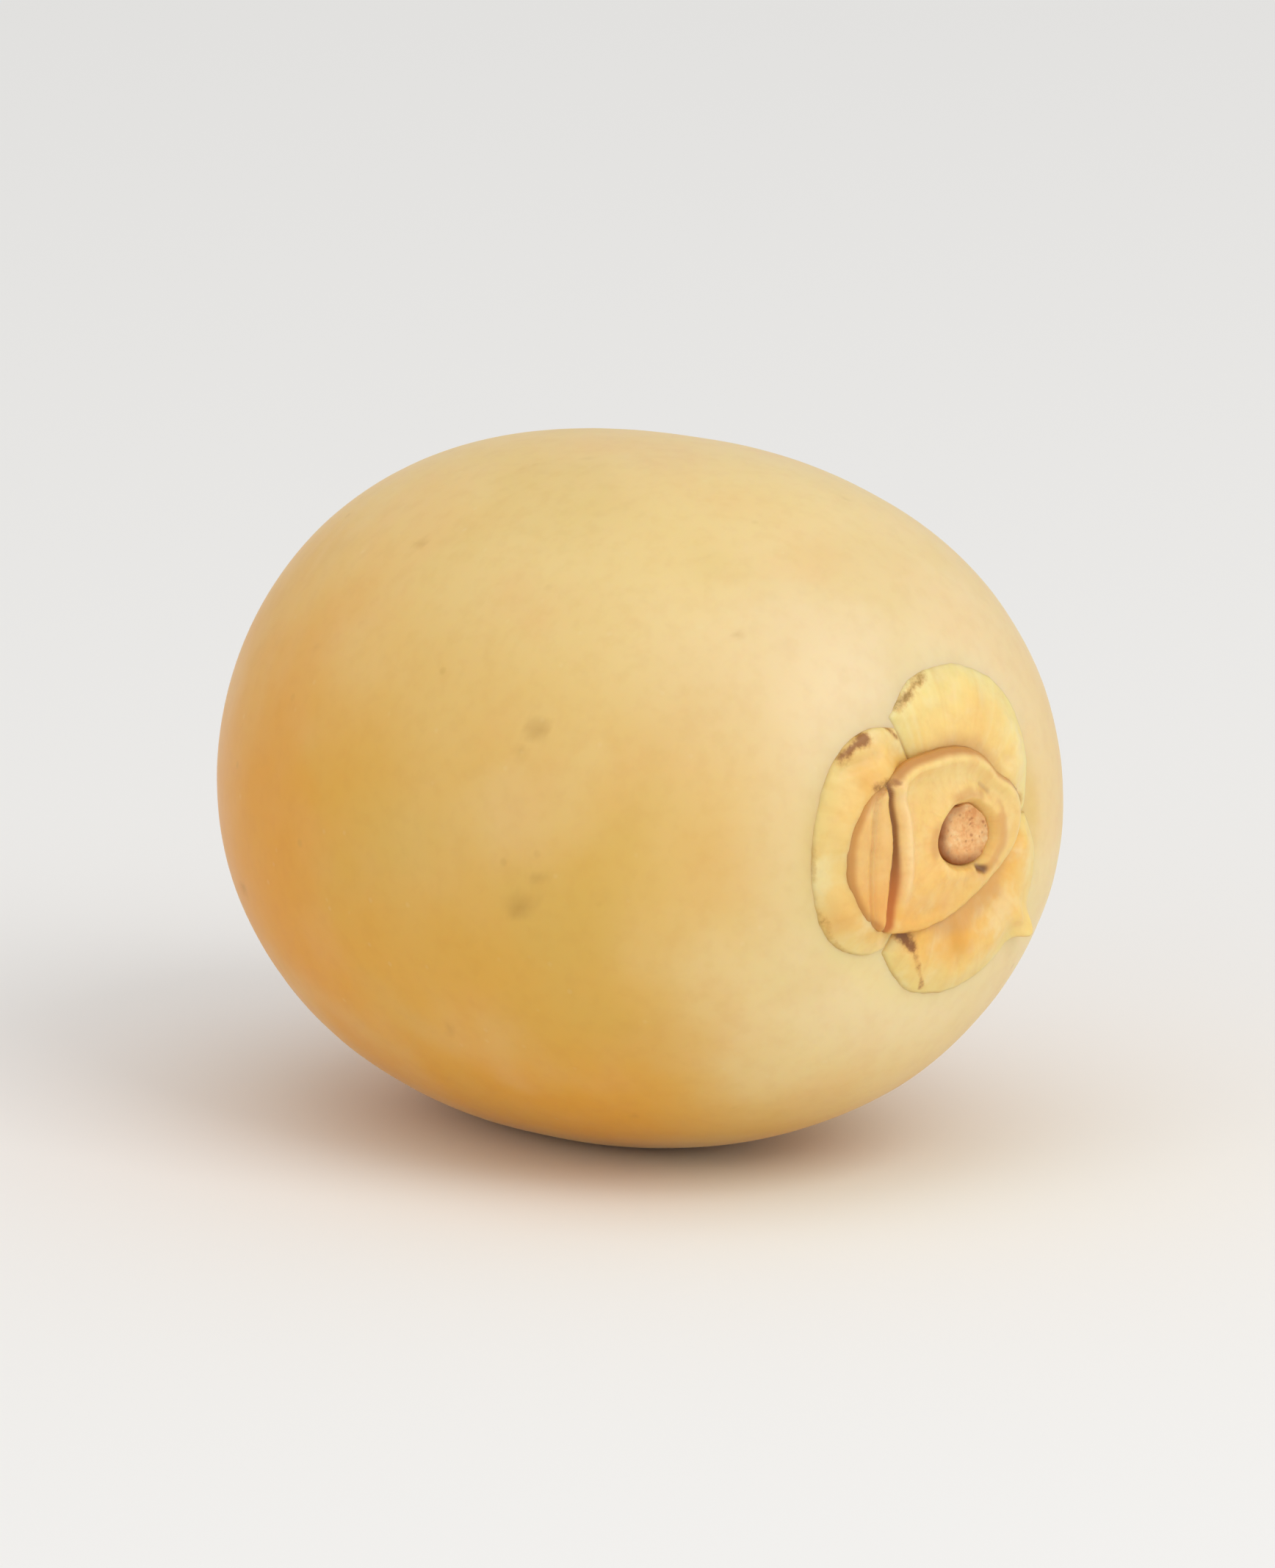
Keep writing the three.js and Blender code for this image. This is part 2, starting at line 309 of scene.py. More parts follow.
def build_fruit():
    nr, na = 236, 272
    u = (np.arange(nr) + 1) / (nr + 1)
    phi = math.pi * (u - 0.07 * np.sin(4 * math.pi * u) / (2 * math.pi))
    alpha = np.arange(na) / na * 2 * math.pi
    P, A = np.meshgrid(phi, alpha, indexing="ij")
    base = skin(P, A)
    nrm = skin_normal(P, A)
    t = base[..., 0] / TIP_HALF
    rho = np.hypot(base[..., 1], base[..., 2])

    # slow, barely felt unevenness of a grown skin
    h = 0.055 * noise(base / 9.0, 3) + 0.022 * noise(base / 4.2, 4) + 0.006 * noise(base / 1.7, 5)
    # faint lengthwise folds that run out from under the calyx
    ribs = noise(np.stack([np.cos(A) * 4.5, np.sin(A) * 4.5, base[..., 0] / 16.0], -1), 9)
    h = h + 0.03 * ribs * step(0.45, 0.95, t) * step(2.0, 6.0, rho)
    pucker = noise(np.stack([np.cos(A) * 11, np.sin(A) * 11, rho * 0.35], -1), 10)
    h = h + 0.016 * pucker * np.where(P < math.pi / 2, 1.0, 0.0) * step(4.6, 6.2, rho) * step(9.5, 6.6, rho)
    # faint crosswise wrinkles on the tip half
    wave = np.sin(base[..., 0] * 4.6 + 2.2 * noise(base / 3.0, 12))
    patch = step(0.05, 0.55, noise(base / 5.0, 13) + 0.1)
    h = h + 0.005 * wave * patch * step(0.1, -0.4, t) * step(-0.98, -0.8, t)
    # lengthwise folds drawn in to the style scar
    folds = noise(np.stack([np.cos(A) * 3.4, np.sin(A) * 3.4, base[..., 0] * 0.1], -1), 17)
    tip = np.where(P > math.pi / 2, 1.0, 0.0)
    h = h + tip * 0.05 * folds * np.exp(-(((rho - 2.0) / 1.3) ** 2))
    # the style scar: a small crater on the nipple
    h = h - tip * 0.34 * np.exp(-((rho / 0.34) ** 2)) + tip * 0.05 * np.exp(-(((rho - 0.62) / 0.2) ** 2))

    spots = []
    for tt, deg, rad, strength in SPOTS:
        q, _ = at_skin(tt, deg)
        spots.append((q[0], q[1], q[2], rad, strength))
    spot = spot_mask(base, spots)
    h = h - 0.02 * spot

    streak = np.zeros(base.shape[:-1])
    for t0, d0, t1, d1, wide in STREAKS:
        streak = np.maximum(streak, line_mask(base, at_skin(t0, d0)[0], at_skin(t1, d1)[0], wide))
    h = h + 0.015 * streak * (1 + noise(base * 3.0, 21))

    pos = place(base + nrm * h[..., None])
    pole_c = place(skin(0.0, 0.0))
    pole_t = place(skin(math.pi, 0.0) + np.array([0.34, 0, 0]))
    # the spot it rests on, with a soft edge
    k = 0.10
    z = pos[..., 2]
    pos[..., 2] = np.where(z < k, k * np.exp((z - k) / k) * 0 + np.maximum(0.0, z) * 0 + 0.5 * (z + np.sqrt(z * z + 0.0009)), z)
    pos[..., 2] = np.maximum(pos[..., 2], 0.0)

    verts = rings_to_verts(pole_c, pos, pole_t)

    def flat(v, a, b):
        return np.concatenate([[a], v.reshape(-1), [b]])

    under = 0.5 - 0.5 * np.sin(A)
    attrs = {
        "axial": flat(t, 0.95, -1),
        "under": flat(under, 0.5, 0.5),
        "side": flat(0.5 + 0.5 * np.cos(A), 0.5, 0.5),
        "rho": flat(rho, 0, 0),
        "spot": flat(spot, 0, 0),
        "streak": flat(streak, 0, 0),
        "tipscar": flat(tip * np.exp(-((rho / 0.8) ** 2)), 0, 1),
        "tiphalo": flat(tip * np.exp(-((rho / 3.6) ** 2)), 0, 1),
    }
    ob = make_object("date_fruit", verts, *capsule_faces(nr, na), attrs)
    return ob


# (share of the half length, degrees round the axis from +Y towards +Z, radius mm, strength)
SPOTS = [
    (0.436, 156.2, 0.66, 0.50), (0.425, 186.5, 0.70, 0.62), (0.47, 181.5, 0.50, 0.42), (0.40, 160.5, 0.30, 0.3), (-0.132, 128.2, 0.42, 0.35),
    (0.715, 126.0, 0.32, 0.30), (0.13, 211.0, 0.34, 0.40), (-0.30, 150.0, 0.24, 0.35), (0.53, 76.3, 0.26, 0.30),
    (-0.55, 196.0, 0.45, 0.55), (-0.72, 232.0, 0.5, 0.5), (-0.4, 80.0, 0.4, 0.5), (0.3, 20.0, 0.5, 0.55),
    (-0.1, -30.0, 0.45, 0.5), (0.55, 300.0, 0.4, 0.45), (-0.6, 10.0, 0.4, 0.55), (0.05, 100.0, 0.26, 0.3),
    (-0.8, 310.0, 0.35, 0.5), (0.42, 236.0, 0.25, 0.3), (-0.02, 262.0, 0.5, 0.5),
]
# dried streaks near the tip: two places on the skin (share, degrees) and a half width in mm
STREAKS = [
    (-0.80, 136, -0.765, 112, 0.42), (-0.845, 128, -0.83, 120, 0.22),
]


# ------------------------------------------------------------------ petals
def build_petal(name, pairs, seed, lift_at=(), height=0.42, flap=None, extend=(0.0, 0.0), over=0.0, rnd=1.4):
    nk, nu = 150, 46
    pairs = [list(p) for p in pairs]
    pairs[0][0] -= extend[0]
    pairs[-1][0] += extend[1]
    reach, ang = outline(pairs, False, nk)
    k = np.linspace(0, 1, nk)
    # a dry, slightly uneven margin
    ragged = 0.05 * noise(np.stack([k * 9, k * 0 + seed, k * 0], -1), 31) + 0.03 * noise(np.stack([k * 34, k * 0 + seed, k * 0], -1), 32)
    reach = reach + ragged
    inner = 1.9
    if flap:
        kf, wide, out_by, lift_by = flap
        bump = np.exp(-(((k - kf) / wide) ** 2))
        reach = reach + out_by * bump ** 1.5
    # points crowd towards the outer margin
    u = 1 - (1 - np.linspace(0, 1, nu)) ** 1.6
    U, K = np.meshgrid(u, np.arange(nk), indexing="ij")
    RHO = inner + (reach[K] - inner) * U
    ANG = ang[K]
    KK = k[K]
    # distance from the free margin, mm
    e_out = (reach[K] - RHO)
    arc = np.concatenate([[0], np.cumsum(np.hypot(np.diff(reach * np.cos(ang)), np.diff(reach * np.sin(ang))))])
    side0 = RHO * (ANG - ang[0])
    side1 = RHO * (ang[-1] - ANG)
    e = np.minimum(e_out, np.minimum(side0, side1))
    q = np.stack([RHO * np.cos(ANG), RHO * np.sin(ANG), U * 0 + seed], -1)
    thick = height * (0.35 * np.sqrt(np.clip(1 - (1 - np.clip(e / 0.3, 0, 1)) ** 2, 0, 1)) + 0.65 * step(0.0, rnd, e)) + 0.02
    # fleshy: soft swellings and a few shallow folds running out from under the cup
    folds = noise(np.stack([ANG * 4.2, U * 0.7, U * 0 + seed], -1), 41)
    soft = step(0.1, 0.9, e)
    fibre = noise(np.stack([ANG * 11.0, U * 1.1, U * 0 + seed * 3.7], -1), 45) + 0.6 * noise(np.stack([ANG * 24.0, U * 1.6, U * 0 + seed], -1), 46)
    thick = thick + soft * (0.12 * noise(q / 1.5, 42) + 0.06 * folds + 0.018 * noise(q / 0.6, 43) + 0.018 * fibre) + 0.005 * noise(q / 0.22, 44)
    for y0, z0, y1, z1, w, dpt in PETAL_FOLDS:
        dd = segment_distance(RHO * np.cos(ANG), RHO * np.sin(ANG), y0, z0, y1, z1)
        thick = thick - dpt * np.exp(-((dd / w) ** 2)) * step(0.0, 0.5, e)
    bottom = -0.06 + 0.0 * U
    lift = 0.0 * U
    for kf, wide, by in lift_at:
        lift = lift + by * np.exp(-(((KK - kf) / wide) ** 2)) * step(1.0, 0.0, e_out)
    if flap:
        lift = lift + lift_by * np.exp(-(((KK - kf) / (wide * 1.3)) ** 2)) * step(0.9, 0.0, e_out)
    lift = lift + over * step(0.0, 1.0, U)
    bottom = bottom + lift
    top = bottom + np.maximum(thick, 0.03)
    PT = place(on_shoulder(RHO, ANG, top))
    PB = place(on_shoulder(RHO, ANG, bottom))
    verts = np.concatenate([PT.reshape(-1, 3), PB.reshape(-1, 3)])
    N = nu * nk
    I, J = np.meshgrid(np.arange(nu - 1), np.arange(nk - 1), indexing="ij")
    v00, v10, v11, v01 = (I * nk + J, (I + 1) * nk + J, (I + 1) * nk + J + 1, I * nk + J + 1)
    top_f = np.stack([v00, v10, v11, v01], -1).reshape(-1, 4)
    bot_f = np.stack([v00, v01, v11, v10], -1).reshape(-1, 4) + N
    j = np.arange(nk - 1)
    i = np.arange(nu - 1)
    far = (nu - 1) * nk
    out_f = np.stack([far + j, far + j + N, far + j + 1 + N, far + j + 1], -1)
    in_f = np.stack([j, j + 1, j + 1 + N, j + N], -1)
    s0 = np.stack([i * nk, i * nk + N, (i + 1) * nk + N, (i + 1) * nk], -1)
    s1 = np.stack([i * nk + nk - 1, (i + 1) * nk + nk - 1, (i + 1) * nk + nk - 1 + N, i * nk + nk - 1 + N], -1)
    quads = np.concatenate([top_f, bot_f, out_f, in_f, s0, s1])
    y = RHO * np.cos(ANG)
    z = RHO * np.sin(ANG)
    mark = dry_marks(y, z)
    attrs = {
        "edge": np.concatenate([e.reshape(-1), e.reshape(-1)]),
        "inward": np.concatenate([(1 - U).reshape(-1), (1 - U).reshape(-1)]),
        "mark": np.concatenate([mark.reshape(-1), mark.reshape(-1)]),
        "fibre": np.tile(0.5 + 0.5 * fibre.reshape(-1), 2),
        "warm": np.tile(warm_patches(y, z).reshape(-1), 2),
    }
    return make_object(name, verts, [], quads, attrs)


# shallow folds pressed into the petals: (y, z) to (y, z), half width, depth
PETAL_FOLDS = [
    (-4.7, 3.4, -3.3, 3.7, 0.25, 0.12), (-0.4, 4.9, 1.4, 5.1, 0.35, 0.10), (2.6, 4.6, 3.9, 3.2, 0.3, 0.08),
    (0.3, -3.8, 0.8, -4.9, 0.35, 0.14), (1.8, -3.6, 3.0, -2.6, 0.3, 0.08), (-5.3, 0.8, -5.4, -0.9, 0.3, 0.08),
    (-2.6, 5.2, -2.0, 4.5, 0.22, 0.10), (3.4, 2.4, 4.3, 2.6, 0.25, 0.06),
]
# dried brown stretches of the margins: (y, z) to (y, z), half width, strength
MARKS = [
    (-4.6, 3.85, -3.45, 4.5, 0.27, 1.0), (-3.2, 4.85, -2.5, 4.85, 0.13, 0.75), (-2.5, 4.85, -1.95, 4.3, 0.13, 0.7),
    (-1.6, 5.4, -0.1, 6.3, 0.25, 0.72), (-6.0, -1.5, -4.8, -3.6, 0.16, 0.34), (-2.05, -3.4, -1.7, -3.9, 0.26, 1.0),
    (-1.7, -3.95, -0.8, -5.7, 0.12, 0.5), (3.5, 1.5, 4.4, 0.8, 0.22, 0.8), (-6.0, 0.5, -6.05, -0.6, 0.16, 0.25),
    (-3.45, 2.55, -2.75, 2.75, 0.17, 0.7),
]


def segment_distance(y, z, y0, z0, y1, z1):
    dy, dz = y1 - y0, z1 - z0
    t = np.clip(((y - y0) * dy + (z - z0) * dz) / (dy * dy + dz * dz), 0, 1)
    return np.hypot(y - y0 - t * dy, z - z0 - t * dz)


def dry_marks(y, z):
    out = np.zeros_like(y)
    wob = 0.12 * noise(np.stack([y * 1.6, z * 1.6, y * 0], -1), 55)
    for y0, z0, y1, z1, w, s in MARKS:
        d = segment_distance(y, z, y0, z0, y1, z1) + wob
        out = np.maximum(out, s * np.exp(-((np.maximum(d, 0) / w) ** 2)))
    return out


def warm_patches(y, z):
    """Orange patches on the petals."""
    out = np.zeros_like(y)
    wob = 0.35 * noise(np.stack([y * 0.9, z * 0.9, y * 0], -1), 56)
    for cy, cz, r, s in [(0.5, -4.15, 0.75, 1.0), (-5.2, -2.2, 0.8, 0.6), (-3.8, 3.2, 0.6, 0.5), (2.4, 4.4, 0.8, 0.35)]:
        out = np.maximum(out, s * np.exp(-((np.maximum(np.hypot(y - cy, z - cz) + wob, 0) / r) ** 2)))
    return out


# ------------------------------------------------------------------ calyx cup
def cup_fibre(y, z):
    """Fine lines that run out from the strand's end."""
    dy, dz = y - STUB_CENTRE[0], z - STUB_CENTRE[1]
    r = np.maximum(np.hypot(dy, dz), 1e-6)
    a = np.stack([dy / r * 7.0, dz / r * 7.0, r * 0.5], -1)
    return noise(a, 67) + 0.6 * noise(a * 2.1, 68)


def cup_relief(y, z, e):
    """Height of the cup's upper side above the skin, and its masks."""
    deg = np.degrees(np.arctan2(z, y)) % 360
    upper = step(8, 30, deg) * step(150, 128, deg)
    h = 0.42 + 0.46 * np.sqrt(np.clip(1 - (1 - np.clip(e / 0.5, 0, 1)) ** 2, 0, 1))
    # rolled rim along the upper margin, a shallow hollow inside it, then a rise to the scar
    h = h + upper * (0.14 * np.exp(-(((e - 0.42) / 0.24) ** 2)) - 0.12 * np.exp(-(((e - 1.05) / 0.42) ** 2)))
    h = h + 0.24 * step(0.5, 2.6, e)
    # near side: a lens-shaped folded lip between the crease and the margin
    yc = -2.93 + 0.03 * z - 0.045 * (z + 0.3) ** 2 * 0.35 + 0.05 * noise(np.stack([z * 0.9, z * 0, z * 0], -1), 61)
    d = y - yc
    lens = np.sqrt(np.clip(1 - ((z + 0.35) / 2.95) ** 2, 0, 1))
    along = step(-3.7, -2.7, z) * step(3.15, 2.3, z)
    open_w = 0.10 + 0.09 * step(0.6, -1.4, z)
    crease = along * np.exp(-((d / open_w) ** 2))
    fine = along * np.exp(-(((d + 1.02 * lens) / 0.15) ** 2)) * step(0.25, 0.7, lens)
    roll = np.sqrt(np.clip(1 - ((d + 0.52 * lens) / (0.50 * lens + 0.05)) ** 2, 0, 1))
    roll2 = np.sqrt(np.clip(1 - ((d + 1.55 * lens) / (0.56 * lens + 0.05)) ** 2, 0, 1))
    lip = along * step(0.05, -0.1, d)
    h = h + lip * (0.25 * roll + 0.22 * roll2 - 0.26)
    h = h - 0.26 * crease - 0.08 * fine
    ridge = along * np.exp(-(((d - 0.42) / 0.27) ** 2)) * step(-2.6, -1.0, z)
    h = h + 0.24 * ridge
    # soft hollows and swellings of the fleshy sepals
    h = h - 0.18 * np.exp(-(((y + 0.9) / 0.8) ** 2 + ((z - 1.4) / 1.2) ** 2))
    h = h + 0.14 * np.exp(-(((y + 0.9) / 0.8) ** 2 + ((z + 1.4) / 0.9) ** 2))
    h = h + 0.10 * np.exp(-(((y - 0.6) / 1.2) ** 2 + ((z - 2.5) / 0.55) ** 2))
    h = h - 0.10 * np.exp(-(((y + 1.3) / 1.0) ** 2 + ((z + 2.6) / 0.35) ** 2))
    # sunken scar with an uneven collar round the broken strand
    rs = np.hypot((y - STUB_CENTRE[0]) / 1.1, z - STUB_CENTRE[1])
    wob = 0.16 * noise(np.stack([y * 0.9, z * 0.9, y * 0], -1), 62)
    collar = np.exp(-(((rs + wob - 1.72) / 0.32) ** 2))
    h = h + 0.15 * collar - 0.56 * step(1.55, 1.05, rs + 0.5 * wob)
    # a small hole beside the strand end
    pit = np.exp(-((segment_distance(y, z, 1.55, -1.38, 1.8, -1.46) / 0.21) ** 2))
    h = h - 0.22 * pit
    # second short mark on the far side
    nick = np.exp(-((segment_distance(y, z, 1.7, 1.95, 2.1, 1.6) / 0.16) ** 2))
    h = h - 0.06 * nick
    p = np.stack([y, z, y * 0], -1)
    h = h + 0.020 * cup_fibre(y, z) * step(0.1, 0.6, e) * step(1.5, 2.0, rs)
    h = h + 0.05 * noise(p / 1.2, 63) * step(0.1, 0.8, e) + 0.016 * noise(p / 0.5, 64) + 0.004 * noise(p / 0.2, 65)
    return h, np.maximum(np.maximum(crease, 0.3 * fine), 0.4 * nick), collar, pit, lip, ridge, upper


def build_cup():
    na = 300
    reach, ang = outline(CUP_OUTLINE, True, na)
    k = np.arange(na) / na
    wobble = noise(np.stack([np.cos(k * 2 * math.pi) * 2.5, np.sin(k * 2 * math.pi) * 2.5, k * 0], -1), 71)
    reach = reach + 0.07 * wobble + 0.03 * noise(np.stack([np.cos(k * 2 * math.pi) * 8, np.sin(k * 2 * math.pi) * 8, k * 0], -1), 72)
    # under side from the foot out, then the upper side from the margin in
    low = [(0.3, 0.02), (0.55, 0.02), (0.62, 0.30), (0.86, 0.34), (0.95, 0.36), (0.985, 0.40)]
    n_top = 96
    share_top = np.linspace(1.0, 0.0, n_top + 1)[:-1]
    share_top = 1 - (1 - share_top) ** 1.0
    rings = []
    attr = {"edge": [], "crease": [], "collar": [], "pit": [], "lip": [], "ridge": [], "upper": [], "cy": [], "cz": [], "mark": [], "fibre": []}

    def push(share, h, masks):
        rho = reach * share
        y, z = rho * np.cos(ang), rho * np.sin(ang)
        rings.append(place(on_shoulder(rho, ang, h)))
        attr["edge"].append(reach - rho)
        for key, v in zip(("crease", "collar", "pit", "lip", "ridge", "upper"), masks):
            attr[key].append(v)
        attr["cy"].append(y)
        attr["cz"].append(z)
        attr["mark"].append(dry_marks(y, z))
        attr["fibre"].append(0.5 + 0.5 * cup_fibre(y, z))

    zero = np.zeros(na)
    y1, z1 = reach * np.cos(ang), reach * np.sin(ang)
    m1 = cup_relief(y1, z1, zero)
    for share, h in low:
        push(share, zero + h, (zero, zero, zero, m1[4], zero, m1[6]))
    for share in share_top:
        rho = reach * share
        y, z = rho * np.cos(ang), rho * np.sin(ang)
        e = (reach - rho)
        h, *masks = cup_relief(y, z, e)
        push(share, h, masks)
    rings = np.array(rings)
    bottom_pole = place(on_shoulder(0.0, 0.0, 0.02))
    hp = cup_relief(np.array([0.0]), np.array([0.0]), np.array([3.5]))[0][0]
    top_pole = place(on_shoulder(0.0, 0.0, hp))
    verts = rings_to_verts(bottom_pole, rings, top_pole)
    attrs = {}
    for key, v in attr.items():
        v = np.array(v)
        attrs[key] = np.concatenate([[v[0].mean()], v.reshape(-1), [v[-1].mean()]])
    return make_object("date_calyx_cup", verts, *capsule_faces(len(rings), na), attrs)


def build_stub():
    na = 120
    ang = np.arange(na) / na * 2 * math.pi
    c = skin(0.0, 0.0)
    prof = [(0.35, 0.42), (0.8, 0.42), (1.0, 0.46), (1.02, 0.7)]
    n_top = 46
    rings, edge, rr = [], [], []

    def push(share, h):
        wob = 1 + 0.04 * np.cos(2 * ang + 0.7) + 0.09 * noise(np.stack([np.cos(ang) * 1.6, np.sin(ang) * 1.6, ang * 0], -1), 81)
        r = STUB_RADIUS * 0.97 * share * wob
        y = STUB_CENTRE[0] + 1.08 * r * np.cos(ang)
        z = STUB_CENTRE[1] + r * np.sin(ang)
        rings.append(place(np.stack([c[0] + h, c[1] + y, c[2] + z], -1)))
        edge.append(np.full(na, 1 - share))
        rr.append(r)

    for share, h in prof:
        push(share, np.full(na, h))
    for i in range(n_top):
        s = 1 - i / n_top
        y = STUB_RADIUS * s * np.cos(ang)
        z = STUB_RADIUS * s * np.sin(ang)
        p = np.stack([y, z, y * 0], -1)
        h = 0.86 + 0.07 * np.sqrt(np.clip(1 - (1 - np.clip((1 - s) / 0.16, 0, 1)) ** 2, 0, 1)) - 0.10 * step(0.2, 0.75, 1 - s)
        h = h + 0.11 * fractal(p / 0.42, 83, 3) * step(0.0, 0.15, 1 - s) + 0.03 * noise(p / 0.14, 88)
        push(s * 0.985 + 0.0, h)
    rings = np.array(rings)
    p0 = place(np.array([c[0] + 0.42, c[1] + STUB_CENTRE[0], c[2] + STUB_CENTRE[1]]))
    p1 = place(np.array([c[0] + 0.83, c[1] + STUB_CENTRE[0], c[2] + STUB_CENTRE[1]]))
    verts = rings_to_verts(p0, rings, p1)
    e = np.concatenate([[0.5], np.array(edge).reshape(-1), [1.0]])
    # the break's rim is darker on the near upper side and by the small hole: partly browned tissue, partly painted
    # shade
    dark = step(-0.2, 0.7, np.cos(ang - math.radians(228))) + 0.6 * step(0.6, 1.0, np.cos(ang - math.radians(130)))
    dark = np.concatenate([[0.5], np.tile(dark, len(rings)), [0.0]])
    return make_object("date_strand_stub", verts, *capsule_faces(len(rings), na), {"edge": e, "dark": dark})


# ------------------------------------------------------------------ shader helpers
class Nodes:
    def __init__(self, name):
        self.mat = bpy.data.materials.new(name)
        self.mat.use_nodes = True
        self.t = self.mat.node_tree
        self.t.nodes.clear()
        self.out = self.t.nodes.new("ShaderNodeOutputMaterial")
        self.bsdf = self.t.nodes.new("ShaderNodeBsdfPrincipled")
        self.t.links.new(self.bsdf.outputs[0], self.out.inputs[0])
        self.coord = self.t.nodes.new("ShaderNodeTexCoord").outputs["Object"]

    def link(self, a, b):
        self.t.links.new(a, b)

    def put(self, socket, value):
        if hasattr(value, "is_output"):
            self.link(value, socket)
        elif isinstance(value, (tuple, list)) and len(value) == 3 and socket.type == "RGBA":
            socket.default_value = (*value, 1)
        else:
            socket.default_value = value

    def attr(self, name):
        n = self.t.nodes.new("ShaderNodeAttribute")
        n.attribute_name = name
        return n.outputs["Fac"]

    def noise(self, scale, detail=2.0, rough=0.5, stretch=None, distort=0.0, offset=0.0):
        n = self.t.nodes.new("ShaderNodeTexNoise")
        n.inputs["Scale"].default_value = scale
        n.inputs["Detail"].default_value = detail
        n.inputs["Roughness"].default_value = rough
        n.inputs["Distortion"].default_value = distort
        m = self.t.nodes.new("ShaderNodeMapping")
        m.inputs["Scale"].default_value = stretch or (1, 1, 1)
        m.inputs["Location"].default_value = (offset, offset * 0.7, -offset)
        self.link(self.coord, m.inputs[0])
        self.link(m.outputs[0], n.inputs["Vector"])
        return n.outputs["Fac"]

    def voronoi(self, scale, feature="F1", random=1.0, offset=0.0):
        n = self.t.nodes.new("ShaderNodeTexVoronoi")
        n.feature = feature
        n.inputs["Scale"].default_value = scale
        n.inputs["Randomness"].default_value = random
        m = self.t.nodes.new("ShaderNodeMapping")
        m.inputs["Location"].default_value = (offset, offset, offset)
        self.link(self.coord, m.inputs[0])
        self.link(m.outputs[0], n.inputs["Vector"])
        return n

    def math(self, op, a, b=0.0, c=None, clamp=False):
        n = self.t.nodes.new("ShaderNodeMath")
        n.operation = op
        n.use_clamp = clamp
        self.put(n.inputs[0], a)
        self.put(n.inputs[1], b)
        if c is not None:
            self.put(n.inputs[2], c)
        return n.outputs[0]

    def smooth(self, x, lo, hi, out_lo=0.0, out_hi=1.0):
        n = self.t.nodes.new("ShaderNodeMapRange")
        n.interpolation_type = "SMOOTHSTEP"
        self.put(n.inputs[0], x)
        for i, v in zip((1, 2, 3, 4), (lo, hi, out_lo, out_hi)):
            n.inputs[i].default_value = v
        return n.outputs[0]

    def ramp(self, x, stops, mode="EASE"):
        n = self.t.nodes.new("ShaderNodeValToRGB")
        n.color_ramp.interpolation = mode
        el = n.color_ramp.elements
        while len(el) < len(stops):
            el.new(0.5)
        for e, (pos, col) in zip(el, stops):
            e.position = pos
            e.color = (*col, 1)
        self.put(n.inputs[0], x)
        return n.outputs[0]

    def mix(self, fac, a, b, blend="MIX"):
        n = self.t.nodes.new("ShaderNodeMix")
        n.data_type = "RGBA"
        n.blend_type = blend
        n.clamp_factor = True
        self.put(n.inputs[0], fac)
        self.put(n.inputs[6], a)
        self.put(n.inputs[7], b)
        return n.outputs[2]

    def bump(self, height, strength, distance, prev=None):
        n = self.t.nodes.new("ShaderNodeBump")
        n.inputs["Strength"].default_value = strength
        n.inputs["Distance"].default_value = distance
        self.link(height, n.inputs["Height"])
        if prev is not None:
            self.link(prev, n.inputs["Normal"])
        return n.outputs[0]


def srgb(r, g, b):
    def f(v):
        v /= 255
        return v / 12.92 if v <= 0.04045 else ((v + 0.055) / 1.055) ** 2.4
    return (f(r), f(g), f(b))


